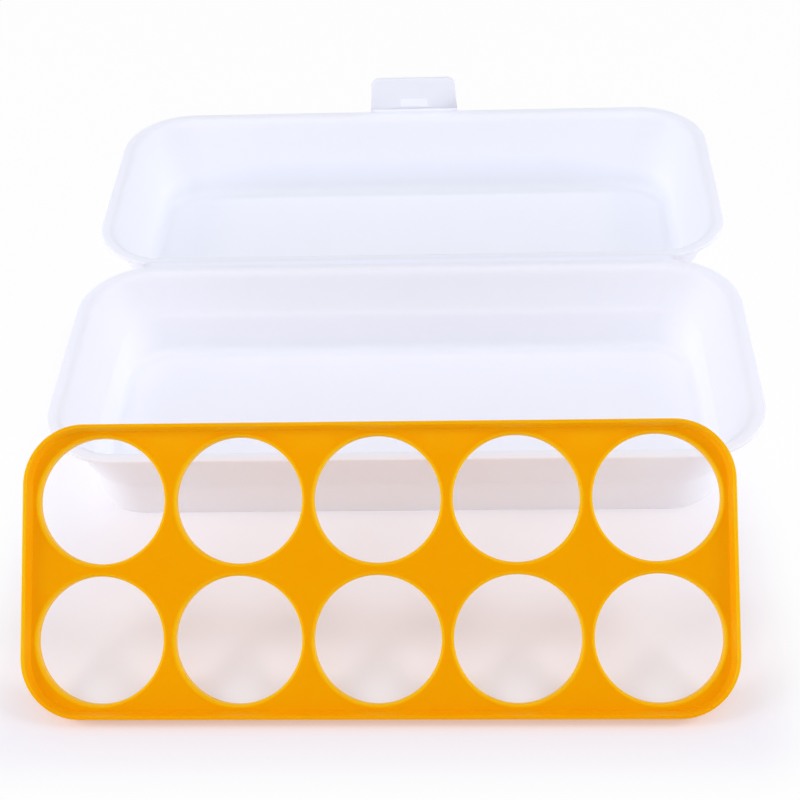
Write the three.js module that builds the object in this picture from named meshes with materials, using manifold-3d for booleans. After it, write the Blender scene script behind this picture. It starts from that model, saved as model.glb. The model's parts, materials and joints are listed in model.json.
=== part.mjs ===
// Egg storage box: a two-part folding case of frosted plastic with a lift-out tray of egg holes.
// Millimetres, +Z up. The origin is the centre of the base's underside. The base stands at the
// origin, the lid lies open behind it along +Y, and the tray stands in front of it, towards -Y.

import * as THREE from "three";
import { mergeVertices } from "three/addons/utils/BufferGeometryUtils.js";
import Module from "manifold-3d";

// Egg holes of the tray
const PITCH = 46;
const COLUMNS = 5;
const ROWS = 2;
const HOLE_DIAMETER = 42;
const HOLE_BEVEL = 1.1;
const COLLAR_WALL = 1.2;
const COLLAR_DEPTH = 3;

// Tray plate and its raised rim
const EDGE_MARGIN = 25.5;
const TRAY_CORNER_RADIUS = 20;
const PLATE_THICKNESS = 1.6;
const TRAY_RIM_HEIGHT = 4;
const TRAY_RIM_WIDTH = 1.4;
const TRAY_RIM_SLOPE = 1.8;

// Where the tray stands: its lower edge on the table, leaning back
const TRAY_SHIFT = -6.6;
const TRAY_DISTANCE = 82.6;
const TRAY_LEAN_DEGREES = 46.6;

// Case halves: the base, and a lid of the same depth. Their upper wall flares out from the
// tray's outline to the mouth.
const HALF_HEIGHT = 38;
const END_FLARE = 7.9;
const SIDE_FLARE = 3.9;
const MOUTH_CORNER_RADIUS = 24;
const WALL = 1.5;
const FLANGE_WIDTH = 5;
const FLANGE_THICKNESS = 1.6;
const FLOOR_FILLET = 4;
const WALL_DRAFT = 1;

// Seat of the tray: a narrow step where the base's wall turns from steep to flared
const SEAT_HEIGHT = 20;
const SEAT_CLEARANCE = 0.6;
const LEDGE_OVERLAP = 0.8;

// Knee of the lid's wall, where it turns from steep to flared
const KNEE_HEIGHT = 18;
const KNEE_OFFSET = 1;

// Film hinge along the back of the two halves
const FILM_WIDTH = 1.6;
const FILM_THICKNESS = 0.5;
const FILM_LENGTH = 216;
const FILM_GAP = 0.1;

// Latch flap on the free edge of the lid
const FLAP_ROOT_WIDTH = 40;
const FLAP_TIP_WIDTH = 38.4;
const FLAP_LENGTH = 15.5;
const FLAP_THICKNESS = 1.5;
const FLAP_CORNER_RADIUS = 4;
const FOLD_RADIUS = 0.8;
const HOOK_LENGTH = 12;
const HOOK_HEIGHT = 3.5;
const HOOK_REACH = 1.4;
const HOOK_CREST = 0.6;
const CLOSED_GAP = 0.4;
const HOOK_CLEARANCE = 0.4;

// How finely round shapes are divided, and how far a cutter overruns what it cuts
const CORNER_STEPS = 4;
const FILLET_STEPS = 3;
const HOLE_STEPS = 48;
const FOLD_STEPS = 4;
const OVERRUN = 1;

const wasm = await Module();
wasm.setup();

// Turns a closed geometry into a solid that can be joined and cut.
function solidOf(geometry) {
  const bare = geometry.clone();
  bare.deleteAttribute("normal");
  bare.deleteAttribute("uv");
  const merged = mergeVertices(bare);
  return new wasm.Manifold(new wasm.Mesh({
    numProp: 3,
    vertProperties: new Float32Array(merged.attributes.position.array),
    triVerts: new Uint32Array(merged.index.array),
  }));
}

// Turns a solid back into a geometry with its own normals.
function geometryOf(solid) {
  const mesh = solid.getMesh();
  const geometry = new THREE.BufferGeometry();
  geometry.setAttribute("position", new THREE.BufferAttribute(mesh.vertProperties, 3));
  geometry.setIndex(new THREE.BufferAttribute(mesh.triVerts, 1));
  geometry.computeVertexNormals();
  return geometry;
}

// A rounded rectangle, by its half sizes and its corner radius, moved in by an inset.
function outlinePoints(outline, inset) {
  const x = outline.halfX - inset;
  const y = outline.halfY - inset;
  const radius = Math.max(outline.radius - inset, WALL);
  const shape = new THREE.Shape();
  shape.absarc(x - radius, y - radius, radius, 0, Math.PI / 2);
  shape.absarc(radius - x, y - radius, radius, Math.PI / 2, Math.PI);
  shape.absarc(radius - x, radius - y, radius, Math.PI, 1.5 * Math.PI);
  shape.absarc(x - radius, radius - y, radius, 1.5 * Math.PI, 2 * Math.PI);
  return shape.getPoints(CORNER_STEPS);
}

function ring(outline, inset, z) {
  return { points: outlinePoints(outline, inset), z };
}

// A closed skin through a stack of rings with equal counts of points. The first ring is closed
// by a cap that faces down, and the last by a cap that faces up.
function skinGeometry(rings) {
  const count = rings[0].points.length;
  const positions = rings.flatMap(({ points, z }) => points.flatMap((p) => [p.x, p.y, z]));
  const index = [];
  for (let level = 0; level < rings.length - 1; level += 1) {
    for (let i = 0; i < count; i += 1) {
      const a = level * count + i;
      const b = level * count + (i + 1) % count;
      index.push(a, b, b + count, a, b + count, a + count);
    }
  }
  const last = (rings.length - 1) * count;
  for (const [a, b, c] of THREE.ShapeUtils.triangulateShape(rings[0].points, [])) {
    index.push(a, c, b);
  }
  for (const [a, b, c] of THREE.ShapeUtils.triangulateShape(rings.at(-1).points, [])) {
    index.push(last + a, last + b, last + c);
  }
  const geometry = new THREE.BufferGeometry();
  geometry.setAttribute("position", new THREE.Float32BufferAttribute(positions, 3));
  geometry.setIndex(index);
  geometry.computeVertexNormals();
  return geometry;
}

// Rings of a quarter-round edge at the foot of a wall, from the floor up to the wall.
function filletRings(outline, inset, floorZ, radius) {
  return Array.from({ length: FILLET_STEPS + 1 }, (_, step) => {
    const angle = (step / FILLET_STEPS) * Math.PI / 2;
    return ring(outline, inset + radius * (1 - Math.sin(angle)), floorZ + radius * (1 - Math.cos(angle)));
  });
}

const trayHalfX = (COLUMNS - 1) * PITCH / 2 + EDGE_MARGIN;
const trayHalfY = (ROWS - 1) * PITCH / 2 + EDGE_MARGIN;
const trayOutline = { halfX: trayHalfX, halfY: trayHalfY, radius: TRAY_CORNER_RADIUS };

const mouthOutline = {
  halfX: trayHalfX + SEAT_CLEARANCE + END_FLARE,
  halfY: trayHalfY + SEAT_CLEARANCE + SIDE_FLARE,
  radius: MOUTH_CORNER_RADIUS,
};
const rimHalfY = mouthOutline.halfY + FLANGE_WIDTH;

// A case half, open upwards: the outer skin from the underside up to the flange, then the inner
// skin down to the floor. The rings where the wall changes slope are given for each skin. The
// steep lower part of the wall follows the tray's outline.
function caseHalf(outerMiddle, innerMiddle) {
  const floorInset = LEDGE_OVERLAP + WALL_DRAFT;
  return skinGeometry([
    ...filletRings(trayOutline, floorInset - WALL, 0, FLOOR_FILLET + WALL),
    ...outerMiddle,
    ring(mouthOutline, -WALL, HALF_HEIGHT - FLANGE_THICKNESS),
    ring(mouthOutline, -FLANGE_WIDTH, HALF_HEIGHT - FLANGE_THICKNESS),
    ring(mouthOutline, -FLANGE_WIDTH, HALF_HEIGHT),
    ring(mouthOutline, 0, HALF_HEIGHT),
    ...innerMiddle,
    ...filletRings(trayOutline, floorInset, WALL, FLOOR_FILLET).reverse(),
  ]);
}

// The base has a narrow step all round, which carries the tray's edge.
function baseShell() {
  const outer = [
    ring(trayOutline, LEDGE_OVERLAP - WALL, SEAT_HEIGHT - WALL),
    ring(trayOutline, -SEAT_CLEARANCE - WALL, SEAT_HEIGHT - WALL),
  ];
  const inner = [
    ring(trayOutline, -SEAT_CLEARANCE, SEAT_HEIGHT),
    ring(trayOutline, LEDGE_OVERLAP, SEAT_HEIGHT),
  ];
  return caseHalf(outer, inner);
}

// The lid's wall only bends: steep next to the panel, flared next to the rim.
function lidShell() {
  const inset = LEDGE_OVERLAP - KNEE_OFFSET;
  const outer = [ring(trayOutline, inset - WALL, KNEE_HEIGHT - WALL)];
  const inner = [ring(trayOutline, inset, KNEE_HEIGHT)];
  return caseHalf(outer, inner);
}

// The strip of thin plastic that joins the two flanges.
function hingeFilm() {
  return new THREE.BoxGeometry(FILM_LENGTH, FILM_WIDTH - 2 * FILM_GAP, FILM_THICKNESS);
}

// A solid turned about the Z axis from a list of radii and heights.
function turnedSolid(profile) {
  const points = profile.map(([radius, height]) => new THREE.Vector2(radius, height));
  const geometry = new THREE.LatheGeometry(points, HOLE_STEPS);
  geometry.rotateX(Math.PI / 2);
  return solidOf(geometry);
}

// The tray in its own frame: the plate's upper face is at z = 0, and the rim stands up from it.
function eggTray() {
  const radius = HOLE_DIAMETER / 2;
  const collarBottom = -PLATE_THICKNESS - COLLAR_DEPTH;
  let tray = solidOf(skinGeometry([
    ring(trayOutline, 0, -PLATE_THICKNESS),
    ring(trayOutline, 0, TRAY_RIM_HEIGHT),
    ring(trayOutline, TRAY_RIM_WIDTH, TRAY_RIM_HEIGHT),
    ring(trayOutline, TRAY_RIM_WIDTH + TRAY_RIM_SLOPE, 0),
  ]));
  const collar = turnedSolid([
    [0, collarBottom],
    [radius + COLLAR_WALL, collarBottom],
    [radius + COLLAR_WALL, -PLATE_THICKNESS / 2],
    [0, -PLATE_THICKNESS / 2],
  ]);
  const hole = turnedSolid([
    [0, collarBottom - OVERRUN],
    [radius, collarBottom - OVERRUN],
    [radius, -HOLE_BEVEL],
    [radius + HOLE_BEVEL, 0],
    [radius + HOLE_BEVEL, OVERRUN],
    [0, OVERRUN],
  ]);
  const places = [];
  for (let row = 0; row < ROWS; row += 1) {
    for (let column = 0; column < COLUMNS; column += 1) {
      places.push([(column - (COLUMNS - 1) / 2) * PITCH, (row - (ROWS - 1) / 2) * PITCH, 0]);
    }
  }
  for (const place of places) {
    tray = tray.add(collar.translate(place));
  }
  for (const place of places) {
    tray = tray.subtract(hole.translate(place));
  }
  return geometryOf(tray);
}

// The flap in its own frame: +X along the fold, +Y away from the fold, +Z towards the box.
function latchFlap() {
  const root = FLAP_ROOT_WIDTH / 2;
  const tip = FLAP_TIP_WIDTH / 2;
  const plate = new THREE.Shape();
  plate.moveTo(-root, 0);
  plate.lineTo(root, 0);
  plate.lineTo(tip, FLAP_LENGTH - FLAP_CORNER_RADIUS);
  plate.absarc(tip - FLAP_CORNER_RADIUS, FLAP_LENGTH - FLAP_CORNER_RADIUS, FLAP_CORNER_RADIUS,
    0, Math.PI / 2);
  plate.absarc(FLAP_CORNER_RADIUS - tip, FLAP_LENGTH - FLAP_CORNER_RADIUS, FLAP_CORNER_RADIUS,
    Math.PI / 2, Math.PI);
  const plateGeometry = new THREE.ExtrudeGeometry(plate, {
    depth: FLAP_THICKNESS,
    bevelEnabled: false,
    curveSegments: CORNER_STEPS,
  });

  // The hook starts below the base's flange when the box is closed and the flap folded down.
  const hookStart = CLOSED_GAP + FLANGE_THICKNESS + HOOK_CLEARANCE - FOLD_RADIUS;
  const hook = new THREE.Shape();
  hook.moveTo(FLAP_THICKNESS / 2, hookStart);
  hook.lineTo(FLAP_THICKNESS + HOOK_REACH, hookStart);
  hook.lineTo(FLAP_THICKNESS + HOOK_REACH, hookStart + HOOK_CREST);
  hook.lineTo(FLAP_THICKNESS, hookStart + HOOK_HEIGHT);
  hook.lineTo(FLAP_THICKNESS / 2, hookStart + HOOK_HEIGHT);
  const hookGeometry = new THREE.ExtrudeGeometry(hook, { depth: HOOK_LENGTH, bevelEnabled: false });
  hookGeometry.translate(0, 0, -HOOK_LENGTH / 2);
  hookGeometry.rotateY(-Math.PI / 2);
  return geometryOf(solidOf(plateGeometry).add(solidOf(hookGeometry)));
}

// The thin bend between the lid's flange and the flap, a quarter turn of film, drawn in the
// same frame as the flap but with its own +Z along the fold.
function flapFilm() {
  const start = FILM_GAP / FOLD_RADIUS;
  const end = Math.PI / 2 - start;
  const bend = new THREE.Shape();
  bend.absarc(0, 0, FOLD_RADIUS + FILM_THICKNESS, -Math.PI / 2 + start, -Math.PI / 2 + end, false);
  bend.absarc(0, 0, FOLD_RADIUS, -Math.PI / 2 + end, -Math.PI / 2 + start, true);
  const geometry = new THREE.ExtrudeGeometry(bend, {
    depth: FLAP_ROOT_WIDTH,
    bevelEnabled: false,
    curveSegments: FOLD_STEPS,
  });
  geometry.translate(0, 0, -FLAP_ROOT_WIDTH / 2);
  return geometry;
}

function frostedPlastic() {
  return new THREE.MeshStandardMaterial({
    color: 0xeceefa,
    roughness: 0.42,
    metalness: 0,
    transparent: true,
    opacity: 0.6,
  });
}

function orangePlastic() {
  return new THREE.MeshStandardMaterial({ color: 0xf49c04, roughness: 0.4, metalness: 0 });
}

function part(name, geometry, material) {
  const mesh = new THREE.Mesh(geometry, material);
  mesh.name = name;
  return mesh;
}

const box = new THREE.Group();
box.add(part("base_shell", baseShell(), frostedPlastic()));

const lidFilm = part("lid_hinge_film", hingeFilm(), frostedPlastic());
lidFilm.position.set(0, rimHalfY + FILM_WIDTH / 2, HALF_HEIGHT - FILM_THICKNESS / 2);
box.add(lidFilm);

// The lid's group has its origin under the middle of the open lid.
const lid = new THREE.Group();
lid.position.y = 2 * rimHalfY + FILM_WIDTH;
lid.add(part("lid_shell", lidShell(), frostedPlastic()));
box.add(lid);

// The latch's group has its origin on the edge of the lid's flange, level with the flap's root.
const latch = new THREE.Group();
latch.position.set(0, rimHalfY, HALF_HEIGHT + FOLD_RADIUS);
const film = part("latch_hinge_film", flapFilm(), frostedPlastic());
film.rotation.set(Math.PI / 2, Math.PI / 2, 0);
const flap = part("latch_flap", latchFlap(), frostedPlastic());
flap.position.y = FOLD_RADIUS + FLAP_THICKNESS;
flap.rotation.x = Math.PI / 2;
latch.add(film, flap);
lid.add(latch);

// The tray's group has its origin on the table, under the tray's lower edge.
const lean = THREE.MathUtils.degToRad(TRAY_LEAN_DEGREES);
const stand = new THREE.Group();
stand.position.set(TRAY_SHIFT, -rimHalfY - TRAY_DISTANCE, 0);
stand.rotation.x = Math.PI / 2 - lean;
const tray = part("egg_tray", eggTray(), orangePlastic());
tray.position.set(0, trayHalfY, PLATE_THICKNESS);
stand.add(tray);
box.add(stand);

export default box;
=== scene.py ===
# %% [markdown]
# # Egg storage box
# This lesson dresses a small household object in Blender: a folding case of frosted plastic and
# the orange tray that holds the eggs. The solid model is loaded first, as a frame that is never
# moved. Every finished piece is then modelled at its real size, in metres, in that frame.

# %% Load the frame
import json
import math

import bmesh
import bpy
from mathutils import Matrix, Vector


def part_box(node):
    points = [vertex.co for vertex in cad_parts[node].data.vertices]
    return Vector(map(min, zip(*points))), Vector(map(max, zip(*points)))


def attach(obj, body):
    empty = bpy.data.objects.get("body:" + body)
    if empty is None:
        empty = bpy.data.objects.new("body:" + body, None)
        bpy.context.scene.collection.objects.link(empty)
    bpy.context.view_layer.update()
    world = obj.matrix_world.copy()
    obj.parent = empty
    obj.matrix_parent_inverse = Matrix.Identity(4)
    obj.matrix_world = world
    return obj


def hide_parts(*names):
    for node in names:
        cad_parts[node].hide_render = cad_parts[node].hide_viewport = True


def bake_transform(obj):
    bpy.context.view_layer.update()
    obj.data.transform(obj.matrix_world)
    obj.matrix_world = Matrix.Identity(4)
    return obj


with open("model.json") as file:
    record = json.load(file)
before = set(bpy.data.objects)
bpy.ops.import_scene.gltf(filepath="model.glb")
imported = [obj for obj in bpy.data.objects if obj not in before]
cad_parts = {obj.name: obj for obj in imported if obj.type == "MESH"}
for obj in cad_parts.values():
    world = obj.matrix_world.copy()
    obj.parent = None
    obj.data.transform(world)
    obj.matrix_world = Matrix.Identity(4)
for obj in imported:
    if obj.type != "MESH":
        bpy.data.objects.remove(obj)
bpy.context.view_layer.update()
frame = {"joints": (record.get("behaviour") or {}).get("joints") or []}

joints = {joint["name"]: joint for joint in frame["joints"]}

# %% [markdown]
# ## The camera
# The photograph looks down on the open box from the front, turned a few degrees and tilted a
# little to one side. A long lens keeps the case's sides nearly parallel. The focal length is
# given in pixels of an 800 pixel wide picture, which is the way a camera is fitted to a
# photograph, and Blender's lens in millimetres follows from its 36 mm sensor.

# %% Place the camera
PICTURE_WIDTH = 800
SENSOR_WIDTH = 36
FOCAL_PIXELS = 1550
CAMERA_PLACE = Vector((0.0244, -0.4513, 0.4138))
CAMERA_PITCH = math.radians(41.45)
CAMERA_YAW = math.radians(-3.44)
CAMERA_ROLL = math.radians(-2.90)

scene = bpy.context.scene
camera_data = bpy.data.cameras.new("camera")
camera_data.sensor_width = SENSOR_WIDTH
camera_data.lens = FOCAL_PIXELS * SENSOR_WIDTH / PICTURE_WIDTH
camera = bpy.data.objects.new("camera", camera_data)
turn = Matrix.Rotation(-CAMERA_YAW, 4, "Z")
tip = Matrix.Rotation(math.radians(90) - CAMERA_PITCH, 4, "X")
roll = Matrix.Rotation(CAMERA_ROLL, 4, "Z")
camera.matrix_world = Matrix.Translation(CAMERA_PLACE) @ turn @ tip @ roll
scene.collection.objects.link(camera)
scene.camera = camera
print("lens in mm:", round(camera_data.lens, 1))

# %% [markdown]
# ## Writing shader maths as Python
# A material is a graph of nodes. Small sums of noise and masks read best as formulas, so one
# class wraps a socket and turns +, - and * into Math nodes. Every other node comes from one
# method that takes its type, its settings and what goes into its sockets.

# %% A socket that can be added and multiplied
class Signal:
    def __init__(self, paint, socket):
        self.paint = paint
        self.socket = socket

    def combine(self, operation, first, second):
        settings = {"operation": operation}
        return self.paint.node("ShaderNodeMath", settings, {0: first, 1: second}).out()

    def __add__(self, other):
        return self.combine("ADD", self, other)

    def __sub__(self, other):
        return self.combine("SUBTRACT", self, other)

    def __rsub__(self, other):
        return self.combine("SUBTRACT", other, self)

    def __mul__(self, other):
        return self.combine("MULTIPLY", self, other)

    __radd__ = __add__
    __rmul__ = __mul__


# %% A material or a world that grows by one node at a time
class Paint:
    def __init__(self, owner):
        owner.use_nodes = True
        self.owner = owner
        self.tree = owner.node_tree
        self.tree.nodes.clear()

    def node(self, kind, settings=None, inputs=None):
        made = self.tree.nodes.new(kind)
        for name, value in (settings or {}).items():
            setattr(made, name, value)
        for key, value in (inputs or {}).items():
            if isinstance(value, Signal):
                self.tree.links.new(value.socket, made.inputs[key])
            else:
                made.inputs[key].default_value = value
        return Step(self, made)


class Step:
    def __init__(self, paint, made):
        self.paint = paint
        self.made = made

    def out(self, key=0):
        return Signal(self.paint, self.made.outputs[key])


EVEN_NOISE = 0.5
FIRST_COLOUR = 6
SECOND_COLOUR = 7
MIXED_COLOUR = 2


def noise(paint, place, scale, detail, roughness=EVEN_NOISE):
    inputs = {"Vector": place, "Scale": scale, "Detail": detail, "Roughness": roughness}
    return paint.node("ShaderNodeTexNoise", None, inputs).out(0)


def mix_colours(paint, amount, first, second):
    settings = {"data_type": "RGBA"}
    inputs = {"Factor": amount, FIRST_COLOUR: first, SECOND_COLOUR: second}
    return paint.node("ShaderNodeMix", settings, inputs).out(MIXED_COLOUR)


# %% [markdown]
# ## Frosted plastic
# The case is polypropylene with a fine etched skin. Light goes into it and is scattered, so the
# plastic looks milky, its edges are soft, and a thin wall glows when its far side is lit. Plain
# white would look like china, and clear glass would show sharp things behind it. Subsurface
# scattering suits it: light enters, spreads about as far as the wall is thick, and comes out
# somewhere else. Such a wall also throws only a pale shadow. Cycles doesn't send lamp light
# straight through a scattering wall, so for shadow rays alone, which Light Path can tell, the
# wall is mixed with a transparent shader. The film hinges are far thinner than the light's
# reach, and scattering would lose light through them, so their plastic has none. Slow noise
# gives the clouding of a moulding, and fine noise the etched grain that breaks up highlights.
# Where a wall meets the floor, and towards the ends of the floor, the colour is painted greyer: a
# painted shade for the shade that falls in those corners, where the plastic is also thicker. The
# meshes of the case carry that painted shade as an attribute of their points.

# %% Mix the frosted plastic
FROST_PALE = (0.955, 0.957, 1.0, 1)
FROST_COOL = (0.935, 0.94, 1.0, 1)
# Colour of the painted shade at the foot of the walls and on the ends of the floor.
FROST_PAINTED_SHADE = (0.78, 0.8, 0.79, 1)
FROST_SCATTER = 0.8
FILM_SCATTER = 0
FROST_REACH = 0.002
FROST_REACH_BY_COLOUR = (1, 1, 1)
FROST_ROUGHNESS = 0.34
FROST_GLOSS = 0.3
FROST_SHADOW_PASS = 0.9
FROST_SHADOW_TINT = (1, 1, 1, 1)
PLASTIC_IOR = 1.49
CLOUD_SCALE = 22
CLOUD_DETAIL = 3
CLOUD_ROUGHNESS = 0.08
GRAIN_SCALE = 1900
GRAIN_DETAIL = 2
GRAIN_ROUGHNESS = 0.06
GRAIN_STRENGTH = 0.35
GRAIN_DEPTH = 0.00002


def mesh_value(paint, name):
    """A number that the mesh holds for each of its points, or 0 where it holds none."""
    return paint.node("ShaderNodeAttribute", {"attribute_name": name}).out("Fac")


def pale_shadow(paint, shader, share, tint):
    """Finishes a plastic that lets a share of the lamps' light through, in a tint."""
    clear = paint.node("ShaderNodeBsdfTransparent", None, {"Color": tint})
    passed = paint.node("ShaderNodeLightPath").out("Is Shadow Ray") * share
    mixed = paint.node("ShaderNodeMixShader", None, {0: passed, 1: shader.out(), 2: clear.out()})
    paint.node("ShaderNodeOutputMaterial", None, {"Surface": mixed.out()})
    return paint.owner


def frosted_plastic(name, scatter):
    paint = Paint(bpy.data.materials.new(name))
    place = paint.node("ShaderNodeTexCoord").out("Object")
    clouds = noise(paint, place, CLOUD_SCALE, CLOUD_DETAIL)
    grain = noise(paint, place, GRAIN_SCALE, GRAIN_DETAIL)
    wall_colour = mix_colours(paint, clouds, FROST_PALE, FROST_COOL)
    # Painted shade: the colour turns grey where the mesh marks the foot of the walls and the
    # floor's ends.
    colour = mix_colours(paint, mesh_value(paint, "painted_corner_shade"), wall_colour, FROST_PAINTED_SHADE)
    roughness = clouds * CLOUD_ROUGHNESS + grain * GRAIN_ROUGHNESS + FROST_ROUGHNESS
    bump_inputs = {"Strength": GRAIN_STRENGTH, "Distance": GRAIN_DEPTH, "Height": grain}
    bump = paint.node("ShaderNodeBump", None, bump_inputs)
    shader = paint.node("ShaderNodeBsdfPrincipled", None, {
        "Base Color": colour,
        "Roughness": roughness,
        "IOR": PLASTIC_IOR,
        "Subsurface Weight": scatter,
        "Subsurface Radius": FROST_REACH_BY_COLOUR,
        "Subsurface Scale": FROST_REACH,
        "Specular IOR Level": FROST_GLOSS,
        "Normal": bump.out(),
    })
    return pale_shadow(paint, shader, FROST_SHADOW_PASS, FROST_SHADOW_TINT)


# %% [markdown]
# ## Orange plastic
# The tray is the same kind of plastic with a strong, even pigment and a satin face. Up close it has
# a slight flow pattern from the mould and a fine texture. Light still creeps about a millimetre
# into it. The thin, rounded edges of the rim and the holes are painted a purer yellow than the flat
# plate: a painted highlight that stands for the light coming through them and for the side lamps'
# highlights, strongest on the sides of the holes and on the upper rim. The band beside the rim is
# painted a little lighter too, against its shade. The mesh carries that painted light as an
# attribute of its points, which mixes the two colours here. The pigment also tints the little light
# that gets through the plate, and so its shadow is pale and warm.

# %% Mix the orange plastic
ORANGE = (0.98, 0.42, 0.0, 1)
ORANGE_DEEP = (0.945, 0.377, 0.0, 1)
# Colour of the painted highlight on the tray's edges.
ORANGE_PAINTED_HIGHLIGHT = (1.0, 0.54, 0.006, 1)
ORANGE_SCATTER = 0.55
ORANGE_REACH = 0.0015
ORANGE_REACH_BY_COLOUR = (1.0, 0.6, 0.15)
ORANGE_ROUGHNESS = 0.34
ORANGE_GLOSS = 0.2
ORANGE_GLOSS_TINT = (1.0, 0.9, 0.03, 1)
ORANGE_SHADOW_PASS = 0.45
ORANGE_SHADOW_TINT = (1.0, 0.82, 0.68, 1)
FLOW_SCALE = 30
FLOW_DETAIL = 4
FLOW_BREAKUP = 0.6
FLOW_ROUGHNESS = 0.1
TEXTURE_SCALE = 1400
TEXTURE_DETAIL = 2
TEXTURE_ROUGHNESS = 0.08
TEXTURE_STRENGTH = 0.3
TEXTURE_DEPTH = 0.00003


def orange_plastic():
    paint = Paint(bpy.data.materials.new("orange_plastic"))
    place = paint.node("ShaderNodeTexCoord").out("Object")
    flow = noise(paint, place, FLOW_SCALE, FLOW_DETAIL, FLOW_BREAKUP)
    texture = noise(paint, place, TEXTURE_SCALE, TEXTURE_DETAIL)
    plate_colour = mix_colours(paint, flow, ORANGE, ORANGE_DEEP)
    # Painted highlight: the edges mix towards a lighter yellow where the mesh marks them.
    colour = mix_colours(paint, mesh_value(paint, "painted_edge_light"), plate_colour, ORANGE_PAINTED_HIGHLIGHT)
    roughness = flow * FLOW_ROUGHNESS + texture * TEXTURE_ROUGHNESS + ORANGE_ROUGHNESS
    bump_inputs = {"Strength": TEXTURE_STRENGTH, "Distance": TEXTURE_DEPTH, "Height": texture}
    bump = paint.node("ShaderNodeBump", None, bump_inputs)
    shader = paint.node("ShaderNodeBsdfPrincipled", None, {
        "Base Color": colour,
        "Roughness": roughness,
        "IOR": PLASTIC_IOR,
        "Subsurface Weight": ORANGE_SCATTER,
        "Subsurface Radius": ORANGE_REACH_BY_COLOUR,
        "Subsurface Scale": ORANGE_REACH,
        "Specular IOR Level": ORANGE_GLOSS,
        "Specular Tint": ORANGE_GLOSS_TINT,
        "Normal": bump.out(),
    })
    return pale_shadow(paint, shader, ORANGE_SHADOW_PASS, ORANGE_SHADOW_TINT)


frosted = frosted_plastic("frosted_plastic", FROST_SCATTER)
frosted_film = frosted_plastic("frosted_film", FILM_SCATTER)
orange = orange_plastic()
print("materials:", frosted.name, frosted_film.name, orange.name)

# %% [markdown]
# ## Floor, sky and lamps
# The object lies on white paper in an evenly lit room. A pale sky gives most of the light. On
# each side a lamp throws the faint shadows between the tray's holes, and a lower, softer one
# shines through the walls. A weak one fills in from the front. All of them are a little cool,
# which gives the frosted plastic its bluish tone. The paper shows its own, slightly warm white
# where it is seen under the leaning tray, and is pure white around it. Light Path does that by
# asking what kind of ray looks at the paper, and the white fades in with the distance from the
# tray, so the shadows stay and the background is white without more light on the object.

# %% Build the stage
FLOOR_HALF = 6.0
FLOOR_COLOUR = (0.95, 0.922, 0.93, 1)
FLOOR_WHITE_NEAR = 0.2
FLOOR_WHITE_FAR = 0.94
FLOOR_FADE = 0.03
SKY_LIGHT = 0.61
SKY_COLOUR = (0.86, 0.885, 1.0, 1)
LAMP_COLOUR = (0.93, 0.935, 1.0)
LAMP_DISTANCE = 1.3
WHITE = (1, 1, 1, 1)
# Each lamp has the way to it from the object, its width in metres and its power in watts.
LAMPS = {
    "left_lamp": ((-1.23, -0.35, 1.0), 0.45, 3.3),
    "right_lamp": ((1.16, -0.15, 1.0), 0.45, 3.2),
    "low_left_lamp": ((-1.3, -0.2, 0.45), 0.6, 2.9),
    "low_right_lamp": ((1.3, -0.2, 0.45), 0.6, 2.8),
    "front_lamp": ((0.0, -1.0, 0.5), 1.2, 1.5),
}


def seen_directly(paint):
    path = paint.node("ShaderNodeLightPath")
    seen = path.out("Is Camera Ray") + path.out("Is Glossy Ray") + path.out("Is Transmission Ray")
    return paint.node("ShaderNodeClamp", None, {"Value": seen}).out()


def distance_outside(paint, value, low, high):
    """How far a coordinate is past the ends of a range, and nothing inside the range."""
    from_middle = value - (low + high) / 2
    size = from_middle.combine("ABSOLUTE", from_middle, 0)
    return size.combine("MAXIMUM", size - (high - low) / 2, 0)


def floor_paper(low, high):
    paint = Paint(bpy.data.materials.new("floor_paper"))
    place = paint.node("ShaderNodeTexCoord").out("Object")
    split = paint.node("ShaderNodeSeparateXYZ", None, {0: place})
    past_x = distance_outside(paint, split.out("X"), low[0], high[0])
    past_y = distance_outside(paint, split.out("Y"), low[1], high[1])
    past = past_x.combine("SQRT", past_x * past_x + past_y * past_y, 0)
    fade = paint.node("ShaderNodeMapRange", {"interpolation_type": "SMOOTHSTEP"}, {
        "Value": past, "From Max": FLOOR_FADE,
        "To Min": FLOOR_WHITE_NEAR, "To Max": FLOOR_WHITE_FAR})
    paper = paint.node("ShaderNodeBsdfDiffuse", None, {"Color": FLOOR_COLOUR})
    white = paint.node("ShaderNodeEmission", None, {"Color": WHITE, "Strength": 1})
    amount = seen_directly(paint) * fade.out()
    mixed = paint.node("ShaderNodeMixShader", None, {0: amount, 1: paper.out(), 2: white.out()})
    paint.node("ShaderNodeOutputMaterial", None, {"Surface": mixed.out()})
    return paint.owner


floor_mesh = bpy.data.meshes.new("floor")
corners = [(-FLOOR_HALF, -FLOOR_HALF, 0), (FLOOR_HALF, -FLOOR_HALF, 0),
           (FLOOR_HALF, FLOOR_HALF, 0), (-FLOOR_HALF, FLOOR_HALF, 0)]
floor_mesh.from_pydata(corners, [], [(0, 1, 2, 3)])
tray_low, tray_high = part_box("egg_tray")
base_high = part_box("base_shell")[1]
floor_mesh.materials.append(floor_paper(tray_low, (tray_high.x, base_high.y)))
floor = bpy.data.objects.new("floor", floor_mesh)
scene.collection.objects.link(floor)

scene.world = bpy.data.worlds.new("sky")
sky = Paint(scene.world)
lit = sky.node("ShaderNodeBackground", None, {"Color": SKY_COLOUR, "Strength": SKY_LIGHT})
shown = sky.node("ShaderNodeBackground", None, {"Color": WHITE, "Strength": 1})
both = sky.node("ShaderNodeMixShader", None, {0: seen_directly(sky), 1: lit.out(), 2: shown.out()})
sky.node("ShaderNodeOutputWorld", None, {"Surface": both.out()})

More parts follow.
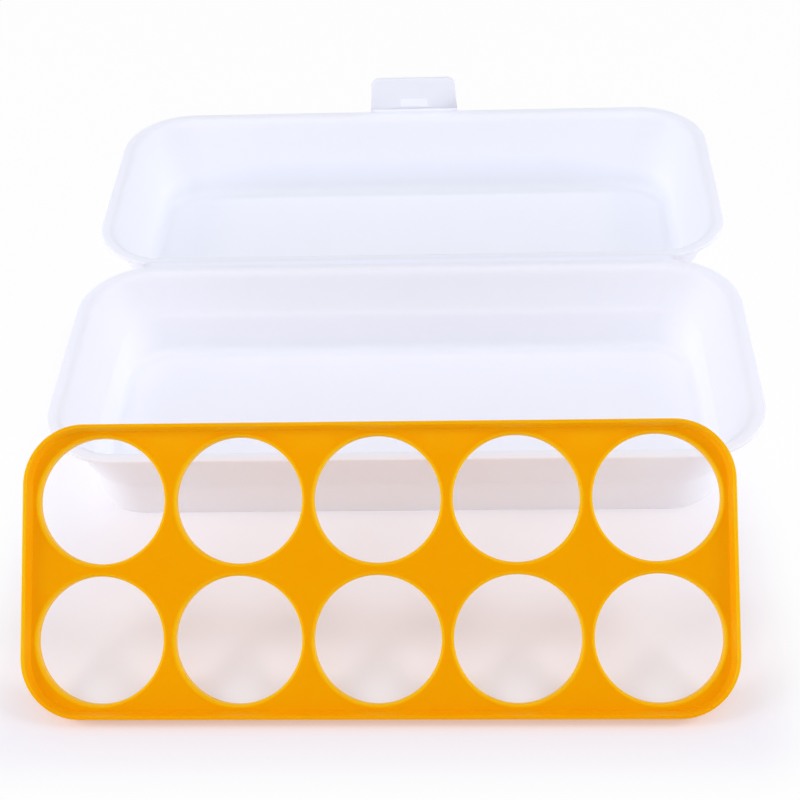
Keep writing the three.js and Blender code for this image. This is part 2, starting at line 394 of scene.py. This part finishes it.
for name, (way, size, power) in LAMPS.items():
    lamp_data = bpy.data.lights.new(name, "AREA")
    lamp_data.shape = "DISK"
    lamp_data.size = size
    lamp_data.energy = power
    lamp_data.color = LAMP_COLOUR
    lamp = bpy.data.objects.new(name, lamp_data)
    way = Vector(way).normalized()
    facing = way.to_track_quat("Z", "Y").to_matrix().to_4x4()
    lamp.matrix_world = Matrix.Translation(LAMP_DISTANCE * way) @ facing
    scene.collection.objects.link(lamp)
scene.view_settings.view_transform = "Standard"
print("lamps:", sorted(LAMPS))

# %% [markdown]
# ## Shells from rounded outlines
# Both halves of the case, and the tray's edge, are rounded rectangles that grow and shrink with
# height. Each is drawn as a profile: a list of stations, every one a rounded rectangle and a
# height. The profile's corners are first softened with short curves, as a mould's are, and the
# stations are then joined by quads. Long straight sides get points too, so that the quads stay
# short and the painted shade that changes along a wall has points to follow.

# %% Outlines and profiles
CORNER_STEPS = 20
LONG_STEPS = 24
SHORT_STEPS = 10
CURVE_STEPS = 6
SUPPORT = 1.3
CURVE_LIMIT = 0.4
SUPPORT_LIMIT = 0.48
LEAST_RADIUS = 0.0001
QUARTERS = ((1, 1), (-1, 1), (-1, -1), (1, -1))


def outline(half_x, half_y, radius):
    """Points of a rounded rectangle, counter-clockwise, always the same number of them."""
    radius = max(min(radius, half_x - LEAST_RADIUS, half_y - LEAST_RADIUS), LEAST_RADIUS)

    def on_corner(quarter, angle):
        side_x, side_y = QUARTERS[quarter % len(QUARTERS)]
        centre = Vector((side_x * (half_x - radius), side_y * (half_y - radius)))
        return centre + radius * Vector((math.cos(angle), math.sin(angle)))

    points = []
    for quarter in range(len(QUARTERS)):
        for step in range(CORNER_STEPS + 1):
            points.append(on_corner(quarter, math.pi / 2 * (quarter + step / CORNER_STEPS)))
        start = points[-1]
        end = on_corner(quarter + 1, math.pi / 2 * (quarter + 1))
        steps = LONG_STEPS if quarter % 2 == 0 else SHORT_STEPS
        points.extend(start.lerp(end, step / steps) for step in range(1, steps))
    return points


def curve(first, corner, last):
    """Points of a short curve that takes the place of a corner."""
    points = []
    for step in range(CURVE_STEPS + 1):
        t = step / CURVE_STEPS
        points.append((1 - t) ** 2 * first + 2 * t * (1 - t) * corner + t * t * last)
    return points


def soften(stations, reaches):
    """Rounds the corners of a profile: each station gives way to a short curve of its reach."""
    stations = [Vector(station) for station in stations]
    softened = [stations[0]]
    for before, corner, after, reach in zip(stations, stations[1:], stations[2:], reaches):
        ends = []
        for neighbour in (before, after):
            way = neighbour - corner
            run = math.hypot(way[0], way[3])
            near = min(reach / run, CURVE_LIMIT)
            far = min(SUPPORT * reach / run, SUPPORT_LIMIT)
            ends.append((corner + way * near, corner + way * far))
        softened.append(ends[0][1])
        softened.extend(curve(ends[0][0], corner, ends[1][0]))
        softened.append(ends[1][1])
    softened.append(stations[-1])
    return softened


def join_loops(mesh, loops, ringed=True):
    """Joins rows of points by quads. Each row is a ring, or a line with two ends."""
    for first, second in zip(loops, loops[1:]):
        for i in range(len(first) if ringed else len(first) - 1):
            j = (i + 1) % len(first)
            mesh.faces.new((first[i], first[j], second[j], second[i]))


def skin(stations, capped=True):
    """A surface through all stations of a profile. Its ends are closed flat, or left open."""
    mesh = bmesh.new()
    loops = []
    for half_x, half_y, radius, height in stations:
        loops.append([mesh.verts.new((p.x, p.y, height)) for p in outline(half_x, half_y, radius)])
    join_loops(mesh, loops)
    if capped:
        mesh.faces.new(reversed(loops[0]))
        mesh.faces.new(loops[-1])
    return mesh


def finish_piece(name, mesh, material, place=None):
    """Turns a bmesh into an object whose place is in its mesh."""
    if place is not None:
        mesh.transform(place)
    data = bpy.data.meshes.new(name)
    mesh.to_mesh(data)
    mesh.free()
    data.materials.append(material)
    data.shade_smooth()
    piece = bpy.data.objects.new(name, data)
    scene.collection.objects.link(piece)
    return piece


# %% [markdown]
# ## The base
# The base is a thin tray of plastic. Its lower wall is steep and follows the egg tray's outline.
# A narrow step then carries the egg tray, and above it the wall flares out to the mouth, where a
# flat flange runs all round. The profile goes up the outside and down the inside, so the wall's
# thickness is real, and light that spreads inside the plastic looks right only if it is. The greyer
# tone of the corners is a painted shade. It could be painted by hand, but a short formula on each
# point's place puts it exactly along the foot of the walls, for the base and the lid alike.

# %% Sizes of the case
WALL = 0.0015
FLANGE_WIDTH = 0.005
FLANGE_THICKNESS = 0.0016
TRAY_HALF_X = 0.1175
TRAY_HALF_Y = 0.0485
TRAY_CORNER = 0.020
LEDGE = 0.0008
SEAT_GAP = 0.0006
SEAT_HEIGHT = 0.020
DRAFT = 0.001
KNEE_HEIGHT = 0.018
KNEE_OFFSET = 0.001
MOUTH_CORNER = 0.024
FLOOR_FILLET = 0.004
SHEET_EDGE = 0.0005
MOUTH_ROUNDING = 0.0035
UNDER_FILLET = 0.0012
STEP_SOFTENING = 0.0026
STEP_SLOPE = 0.0013
CAP_INSET = 0.016
FLOOR_RINGS = (0.024, 0.034)
FLOOR_RING_CORNER = 0.001

rim_half_x, rim_half_y, half_height = base_high
mouth = (rim_half_x - FLANGE_WIDTH, rim_half_y - FLANGE_WIDTH, MOUTH_CORNER)
tray_outline = (TRAY_HALF_X, TRAY_HALF_Y, TRAY_CORNER)
case_size = (2 * rim_half_x, 2 * rim_half_y, half_height)
MM_IN_METRE = 1000
print("case in mm:", [round(MM_IN_METRE * size, 1) for size in case_size])


def station(base, grow, height):
    """A rounded rectangle grown by an amount on all sides, at a height."""
    return (base[0] + grow, base[1] + grow, base[2] + grow, height)


def case_profile(outer_wall, inner_wall, wall_reach):
    """The whole section of a case half. The stations of its two walls are given by the caller."""
    floor_edge = -LEDGE - DRAFT
    stations = [
        station(tray_outline, floor_edge - CAP_INSET, 0),
        station(tray_outline, floor_edge + WALL, 0),
        *outer_wall,
        station(mouth, WALL, half_height - FLANGE_THICKNESS),
        station(mouth, FLANGE_WIDTH, half_height - FLANGE_THICKNESS),
        station(mouth, FLANGE_WIDTH, half_height),
        station(mouth, 0, half_height),
        *inner_wall,
        station(tray_outline, floor_edge, WALL),
        station(tray_outline, floor_edge - CAP_INSET, WALL),
    ]
    reaches = [
        FLOOR_FILLET + WALL / 2,
        *[wall_reach] * len(outer_wall),
        UNDER_FILLET, SHEET_EDGE, SHEET_EDGE, MOUTH_ROUNDING,
        *[wall_reach] * len(inner_wall),
        FLOOR_FILLET,
    ]
    rings = []
    for inset in FLOOR_RINGS:
        half_x, half_y, _, height = station(tray_outline, floor_edge - inset, WALL)
        rings.append((half_x, half_y, FLOOR_RING_CORNER, height))
    return soften(stations, reaches) + rings


# %% Paint shade at the foot of the walls
FOOT_EDGE = 0.001
END_SHADE_START = 0.066
END_SHADE_FULL = 0.108
END_FADE = 0.3


def ramp(value, start, end):
    """A smooth climb from 0 to 1 while a value goes from start to end."""
    share = min(max((value - start) / (end - start), 0), 1)
    return share * share * (3 - 2 * share)


def depth_inside(place, half_x, half_y, radius):
    """How deep a place lies inside a rounded rectangle. It is negative outside."""
    side_x = abs(place.x) - half_x + radius
    side_y = abs(place.y) - half_y + radius
    return radius - math.hypot(max(side_x, 0), max(side_y, 0)) - min(max(side_x, side_y), 0)


def paint_corner_shade(mesh, wall_share, long_height, end_height, floor_share):
    """Stores the painted shade at the foot of the walls and on the ends of the floor."""
    layer = mesh.verts.layers.float.new("painted_corner_shade")
    flat = [size - LEDGE - DRAFT - FLOOR_FILLET for size in tray_outline]
    for vertex in mesh.verts:
        on_wall = 1 - ramp(depth_inside(vertex.co, *flat), -FOOT_EDGE, FOOT_EDGE)
        at_end = ramp(abs(vertex.co.x), END_SHADE_START, END_SHADE_FULL)
        height = (1 - at_end) * long_height + at_end * end_height
        share = wall_share * (1 - END_FADE * at_end)
        foot = share * (1 - ramp(vertex.co.z, FLOOR_FILLET, height))
        vertex[layer] = on_wall * foot + (1 - on_wall) * at_end * floor_share


# %% Model the base
# How strong and how high the painted shade is in the base.
BASE_PAINTED_SHADE = {"wall_share": 0.35, "long_height": 0.011, "end_height": 0.028, "floor_share": 0.12}


def base_piece():
    outer = [
        station(tray_outline, WALL - LEDGE, SEAT_HEIGHT - WALL - STEP_SLOPE),
        station(tray_outline, WALL + SEAT_GAP, SEAT_HEIGHT - WALL + STEP_SLOPE),
    ]
    inner = [
        station(tray_outline, SEAT_GAP, SEAT_HEIGHT + STEP_SLOPE),
        station(tray_outline, -LEDGE, SEAT_HEIGHT - STEP_SLOPE),
    ]
    mesh = skin(case_profile(outer, inner, STEP_SOFTENING))
    paint_corner_shade(mesh, **BASE_PAINTED_SHADE)
    piece = finish_piece("base_case", mesh, frosted)
    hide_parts("base_shell")
    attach(piece, "base")
    return piece


base = base_piece()
print("base faces:", len(base.data.polygons))

# %% [markdown]
# ## The lid
# The lid is as deep as the base, but nothing sits in it, so its wall has no step. It turns gently
# from steep to flared, and the same profile serves with a larger softening there. Its panel is
# painted greyer towards both ends, a painted shade.

# %% Model the lid
KNEE_SOFTENING = 0.004
# How strong and how high the painted shade is in the lid.
LID_PAINTED_SHADE = {"wall_share": 0.7, "long_height": 0.024, "end_height": 0.014, "floor_share": 0.45}
lid_low, lid_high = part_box("lid_shell")
lid_centre = (lid_low.y + lid_high.y) / 2


def lid_piece():
    grow = KNEE_OFFSET - LEDGE
    outer = [station(tray_outline, grow + WALL, KNEE_HEIGHT - WALL)]
    inner = [station(tray_outline, grow, KNEE_HEIGHT)]
    mesh = skin(case_profile(outer, inner, KNEE_SOFTENING))
    paint_corner_shade(mesh, **LID_PAINTED_SHADE)
    piece = finish_piece("lid_case", mesh, frosted, Matrix.Translation((0, lid_centre, 0)))
    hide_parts("lid_shell")
    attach(piece, "lid")
    return piece


lid = lid_piece()
print("lid faces:", len(lid.data.polygons))

# %% [markdown]
# ## The film hinge
# A film hinge is a groove in the mould that leaves the plastic half a millimetre thick, so that it
# bends like a ribbon. It is modelled as a flat strip, thinnest in the middle, with enough rows of
# faces across it to bend.

# %% Model the hinge strip
FILM_LENGTH = 0.216
FILM_THICKNESS = 0.0005
FILM_OVERLAP = 0.0008
FILM_PROUD = 0.00003
FILM_ROWS = 12
FILM_COLUMNS = 48
FILM_WAIST = 0.35


def band(ring, places):
    """A closed band: a ring in the y-z plane, set at places along x and closed at both ends."""
    mesh = bmesh.new()
    loops = [[mesh.verts.new((x, y, z)) for y, z in ring] for x in places]
    join_loops(mesh, loops)
    for side in (loops[0], loops[-1]):
        for i in range(len(ring) // 2 - 1):
            mesh.faces.new((side[i], side[i + 1], side[-i - 2], side[-i - 1]))
    bmesh.ops.recalc_face_normals(mesh, faces=mesh.faces)
    return mesh


def hinge_piece():
    start = rim_half_y
    end = 2 * joints["lid_hinge"]["pos_m"][1] - rim_half_y
    section = []
    for row in range(FILM_ROWS + 1):
        share = row / FILM_ROWS
        y = start - FILM_OVERLAP + share * (end - start + 2 * FILM_OVERLAP)
        waist = FILM_WAIST * FILM_THICKNESS * math.sin(math.pi * share) ** 2
        section.append((y, half_height + FILM_PROUD, half_height - FILM_THICKNESS + waist))
    ring = [(y, top) for y, top, _ in section]
    ring += [(y, bottom) for y, _, bottom in reversed(section)]
    places = [(column / FILM_COLUMNS - 0.5) * FILM_LENGTH for column in range(FILM_COLUMNS + 1)]
    piece = finish_piece("lid_film", band(ring, places), frosted_film)
    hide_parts("lid_hinge_film")
    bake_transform(piece)
    return piece


hinge = hinge_piece()
print("hinge strip faces:", len(hinge.data.polygons))

# %% [markdown]
# ## The latch flap
# A flap hangs on the middle of the lid's free edge. Folded over the closed box, a small hook on
# its inner face snaps under the base's flange. The plate is drawn as an outline and given
# thickness. The hook is a bead with a rounded section, joined to the plate with a boolean, and a
# bevel rounds every sharp edge that is left. Points that end up in one place are merged, so that
# the flap is one closed skin.

# %% Model the flap
FLAP_ROOT_HALF = 0.020
FLAP_TIP_HALF = 0.0192
FLAP_LENGTH = 0.0155
FLAP_THICKNESS = 0.0015
FLAP_CORNER = 0.004
FOLD_RADIUS = 0.0008
HOOK_HALF = 0.006
HOOK_START = 0.0016
HOOK_HEIGHT = 0.0035
HOOK_REACH = 0.0014
HOOK_CREST = 0.0006
HOOK_ROUNDING = 0.00028
FLAP_CORNER_STEPS = 8
FLAP_BEVEL = 0.0003
FLAP_BEVEL_STEPS = 3
SAME_PLACE = 0.000002

flap_low, flap_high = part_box("latch_flap")
upright = Matrix.Rotation(math.pi / 2, 4, "X")
flap_place = Matrix.Translation((0, flap_high.y, flap_low.z)) @ upright


def prism(points, direction):
    """A closed solid from an outline and the way that it is drawn out."""
    mesh = bmesh.new()
    first = [mesh.verts.new(p) for p in points]
    second = [mesh.verts.new(Vector(p) + Vector(direction)) for p in points]
    mesh.faces.new(reversed(first))
    mesh.faces.new(second)
    join_loops(mesh, [first, second])
    bmesh.ops.recalc_face_normals(mesh, faces=mesh.faces)
    return mesh


def round_corners(points, reaches):
    """Rounds the corners of an open line of points, except its two ends."""
    points = [Vector(p) for p in points]
    line = [points[0]]
    for before, corner, after, reach in zip(points, points[1:], points[2:], reaches):
        first = corner + (before - corner).normalized() * reach
        last = corner + (after - corner).normalized() * reach
        line.extend(curve(first, corner, last))
    line.append(points[-1])
    return line


def flap_outline():
    points = [(-FLAP_ROOT_HALF, 0, 0), (FLAP_ROOT_HALF, 0, 0)]
    centre_y = FLAP_LENGTH - FLAP_CORNER
    for side, first in ((1, 0), (-1, math.pi / 2)):
        for step in range(FLAP_CORNER_STEPS + 1):
            angle = first + math.pi / 2 * step / FLAP_CORNER_STEPS
            x = side * (FLAP_TIP_HALF - FLAP_CORNER) + FLAP_CORNER * math.cos(angle)
            points.append((x, centre_y + FLAP_CORNER * math.sin(angle), 0))
    return points


def baked(piece):
    """The plain mesh that an object's modifiers make, in place of the object's own."""
    evaluated = piece.evaluated_get(bpy.context.evaluated_depsgraph_get())
    shape = bpy.data.meshes.new_from_object(evaluated)
    piece.modifiers.clear()
    piece.data = shape
    return piece


def flap_piece():
    solid = prism(flap_outline(), (0, 0, FLAP_THICKNESS))
    plate = finish_piece("latch_plate", solid, frosted)
    outer = FLAP_THICKNESS + HOOK_REACH
    section = round_corners(
        [(-HOOK_HALF, HOOK_START, FLAP_THICKNESS / 2),
         (-HOOK_HALF, HOOK_START, outer),
         (-HOOK_HALF, HOOK_START + HOOK_CREST, outer),
         (-HOOK_HALF, HOOK_START + HOOK_HEIGHT, FLAP_THICKNESS),
         (-HOOK_HALF, HOOK_START + HOOK_HEIGHT, FLAP_THICKNESS / 2)],
        [HOOK_ROUNDING, HOOK_ROUNDING, HOOK_ROUNDING])
    hook = finish_piece("latch_hook", prism(section, (2 * HOOK_HALF, 0, 0)), frosted)
    join = plate.modifiers.new("join", "BOOLEAN")
    join.operation = "UNION"
    join.solver = "EXACT"
    join.object = hook
    edge = plate.modifiers.new("edge", "BEVEL")
    edge.width = FLAP_BEVEL
    edge.segments = FLAP_BEVEL_STEPS
    baked(plate)
    bpy.data.objects.remove(hook)
    mesh = bmesh.new()
    mesh.from_mesh(plate.data)
    bmesh.ops.remove_doubles(mesh, verts=mesh.verts, dist=SAME_PLACE)
    mesh.to_mesh(plate.data)
    mesh.free()
    plate.data.transform(flap_place)
    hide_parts("latch_flap")
    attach(plate, "latch")
    return plate


flap = flap_piece()
print("flap faces:", len(flap.data.polygons))

# %% [markdown]
# ## The latch's bend
# The flap folds on its own film, bent through a quarter turn in this state. The same band as in the
# film hinge follows the bend.

# %% Model the bend
BEND_STEPS = 10
BEND_COLUMNS = 8


def bend_piece():
    centre = Vector((0, lid_high.y, half_height + FOLD_RADIUS))
    inner = FOLD_RADIUS
    outer = FOLD_RADIUS + FILM_THICKNESS
    angles = [math.pi / 2 * step / BEND_STEPS for step in range(BEND_STEPS + 1)]
    ring = [(-FILM_OVERLAP, -inner)]
    ring += [(inner * math.sin(a), -inner * math.cos(a)) for a in angles]
    ring += [(outer * math.sin(a), -outer * math.cos(a)) for a in reversed(angles)]
    ring += [(-FILM_OVERLAP, -outer)]
    ring = [(centre.y + y, centre.z + z) for y, z in ring]
    columns = range(BEND_COLUMNS + 1)
    places = [(2 * column / BEND_COLUMNS - 1) * FLAP_ROOT_HALF for column in columns]
    piece = finish_piece("latch_film", band(ring, places), frosted_film)
    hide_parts("latch_hinge_film")
    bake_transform(piece)
    return piece


bend = bend_piece()
print("bend faces:", len(bend.data.polygons))

# %% [markdown]
# ## The egg tray
# The tray is a flat plate with a raised rim, ten round holes and a short collar under each hole.
# The ring that makes one hole, from the plate's upper face over a rounded edge, down inside the
# collar and up outside it, is turned once. A small Geometry Nodes tree then sets a copy of it at
# every place of the egg pattern. The plate's two faces are filled in last, between the rings and
# the rim, so that the whole tray is one closed skin. Every point then gets its share of painted
# light, a painted highlight which the orange plastic reads: most on the lip of the rim and on the
# rounded edges of the holes.

# %% Turn one hole's ring
PITCH = 0.046
COLUMNS = 5
ROWS = 2
HOLE_RADIUS = 0.021
HOLE_ROUNDING = 0.0013
COLLAR_WALL = 0.0012
COLLAR_DEPTH = 0.003
PLATE = 0.0016
RIM_HEIGHT = 0.004
RIM_LIP = 0.0012
RIM_SLOPE = 0.0012
RING_STEPS = 96
RING_SUPPORT = 0.0001


def hole_ring():
    outer = HOLE_RADIUS + COLLAR_WALL
    foot = -PLATE - COLLAR_DEPTH
    fillet = COLLAR_WALL / 3
    section = round_corners(
        [(HOLE_RADIUS + HOLE_ROUNDING + RING_SUPPORT, 0), (HOLE_RADIUS, 0), (HOLE_RADIUS, foot),
         (outer, foot), (outer, -PLATE), (outer + fillet + RING_SUPPORT, -PLATE)],
        [HOLE_ROUNDING, fillet, fillet, fillet])
    mesh = bmesh.new()
    loops = []
    for step in range(RING_STEPS):
        angle = 2 * math.pi * step / RING_STEPS
        across, along = math.cos(angle), math.sin(angle)
        loops.append([mesh.verts.new((p.x * across, p.x * along, p.y)) for p in section])
    join_loops(mesh, loops + loops[:1], ringed=False)
    return finish_piece("hole_ring", mesh, orange)


# %% Copy the ring to every place with Geometry Nodes
def hole_pattern_tree():
    tree = bpy.data.node_groups.new("hole_pattern", "GeometryNodeTree")
    interface = tree.interface
    interface.new_socket("Geometry", in_out="OUTPUT", socket_type="NodeSocketGeometry")
    interface.new_socket("Geometry", in_out="INPUT", socket_type="NodeSocketGeometry")
    interface.new_socket("Length", in_out="INPUT", socket_type="NodeSocketFloat")
    interface.new_socket("Width", in_out="INPUT", socket_type="NodeSocketFloat")
    interface.new_socket("Columns", in_out="INPUT", socket_type="NodeSocketInt")
    interface.new_socket("Rows", in_out="INPUT", socket_type="NodeSocketInt")
    interface.new_socket("Plastic", in_out="INPUT", socket_type="NodeSocketMaterial")
    source = tree.nodes.new("NodeGroupInput")
    target = tree.nodes.new("NodeGroupOutput")
    grid = tree.nodes.new("GeometryNodeMeshGrid")
    copies = tree.nodes.new("GeometryNodeInstanceOnPoints")
    real = tree.nodes.new("GeometryNodeRealizeInstances")
    finish = tree.nodes.new("GeometryNodeSetMaterial")
    links = [
        (source, "Length", grid, "Size X"), (source, "Width", grid, "Size Y"),
        (source, "Columns", grid, "Vertices X"), (source, "Rows", grid, "Vertices Y"),
        (grid, "Mesh", copies, "Points"), (source, "Geometry", copies, "Instance"),
        (copies, "Instances", real, "Geometry"), (real, "Geometry", finish, "Geometry"),
        (source, "Plastic", finish, "Material"), (finish, "Geometry", target, "Geometry"),
    ]
    for node, output, other, entry in links:
        tree.links.new(node.outputs[output], other.inputs[entry])
    return tree


def set_input(modifier, name, value):
    """Sets a modifier's named input by the identifier of its socket."""
    for item in modifier.node_group.interface.items_tree:
        if item.item_type == "SOCKET" and item.in_out == "INPUT" and item.name == name:
            modifier[item.identifier] = value


def hole_rings():
    rings = hole_ring()
    pattern = rings.modifiers.new("pattern", "NODES")
    pattern.node_group = hole_pattern_tree()
    set_input(pattern, "Length", (COLUMNS - 1) * PITCH)
    set_input(pattern, "Width", (ROWS - 1) * PITCH)
    set_input(pattern, "Columns", COLUMNS)
    set_input(pattern, "Rows", ROWS)
    set_input(pattern, "Plastic", orange)
    return baked(rings)


# %% Draw the rim and the painted light on the edges
# Where the painted highlight lies on the tray's edges, and how strong it is.
LIP_EDGE = 0.0004
LIP_FOOT = 0.7
LIP_GLOW = 0.0005
LIP_GLOW_FULL = LIP_GLOW / 6
RIM_GLOW = 0.25
TOP_GLOW = 0.45
HOLE_GLOW = 0.0014
HOLE_GLOW_FULL = HOLE_GLOW / 3
HOLE_GLOW_LEAST = 0.8


def tray_profile():
    foot = RIM_LIP + RIM_SLOPE
    stations = [
        station(tray_outline, -foot, -PLATE),
        station(tray_outline, 0, -PLATE),
        station(tray_outline, 0, RIM_HEIGHT),
        station(tray_outline, -RIM_LIP, RIM_HEIGHT),
        station(tray_outline, -foot, 0),
        station(tray_outline, -foot - LIP_EDGE, 0),
    ]
    return soften(stations, [LIP_EDGE, LIP_EDGE, LIP_EDGE, LIP_EDGE * LIP_FOOT])


def painted_edge_light(place):
    """How much painted light a place of the tray gets: on its rim and on the edges of its holes."""
    depth = depth_inside(place, *tray_outline)
    wall = ramp(place.z, -PLATE, 0)
    lip = ramp(place.z, RIM_HEIGHT - LIP_GLOW, RIM_HEIGHT - LIP_GLOW_FULL)
    sideways = 1 - ramp(abs(place.y), TRAY_HALF_Y - TRAY_CORNER, TRAY_HALF_Y)
    # Painted highlight on the lip of the end rims, weaker painted light on their walls and the band
    # beside them. Of the long rims only the upper one is painted lighter, as the light falls.
    end_rims = RIM_GLOW * wall + (1 - RIM_GLOW) * lip
    long_rims = TOP_GLOW * wall if place.y > 0 else 0
    rim = sideways * end_rims + (1 - sideways) * long_rims
    if depth > RIM_LIP + RIM_SLOPE + 2 * LIP_EDGE:
        rim = 0
    column = min(max(round(place.x / PITCH), -(COLUMNS // 2)), COLUMNS // 2)
    across = place.x - column * PITCH
    along = place.y - math.copysign(PITCH / 2, place.y)
    from_hole = math.hypot(across, along)
    hole = 1 - ramp(from_hole, HOLE_RADIUS + HOLE_GLOW_FULL, HOLE_RADIUS + HOLE_GLOW)
    # The painted highlight is strongest on the left and right edges of each hole, which the side
    # lamps light.
    beside = abs(across) / max(from_hole, HOLE_GLOW)
    return max(rim, hole * (HOLE_GLOW_LEAST + (1 - HOLE_GLOW_LEAST) * beside))


# %% Join the rim, the rings and the plate
SAME_HEIGHT = 0.000001
TRAY_SHIFT = -0.0066
TRAY_DISTANCE = 0.0826
TRAY_TILT = math.radians(43.4)


def fill_flat(mesh, height):
    """Fills the flat region between all the open edges at one height."""
    edges = []
    for edge in mesh.edges:
        if edge.is_boundary and all(abs(v.co.z - height) < SAME_HEIGHT for v in edge.verts):
            edges.append(edge)
    bmesh.ops.triangle_fill(mesh, use_beauty=True, use_dissolve=False, edges=edges,
                            normal=(0, 0, 1))
    return len(edges)


def tray_piece():
    rings = hole_rings()
    mesh = skin(tray_profile(), capped=False)
    mesh.from_mesh(rings.data)
    bpy.data.objects.remove(rings)
    counts = fill_flat(mesh, 0), fill_flat(mesh, -PLATE)
    bmesh.ops.recalc_face_normals(mesh, faces=mesh.faces)
    loose = sum(1 for e in mesh.edges if not e.is_manifold)
    print("open edges filled:", counts, "left over:", loose)
    # Every point stores its painted light.
    layer = mesh.verts.layers.float.new("painted_edge_light")
    for vertex in mesh.verts:
        vertex[layer] = painted_edge_light(vertex.co)
    tilt = Matrix.Rotation(TRAY_TILT, 4, "X")
    foot = Matrix.Translation((TRAY_SHIFT, -rim_half_y - TRAY_DISTANCE, 0))
    lift = Matrix.Translation((0, TRAY_HALF_Y, PLATE))
    piece = finish_piece("tray_moulding", mesh, orange, foot @ tilt @ lift)
    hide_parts("egg_tray")
    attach(piece, "tray")
    return piece


tray = tray_piece()
print("tray faces:", len(tray.data.polygons))
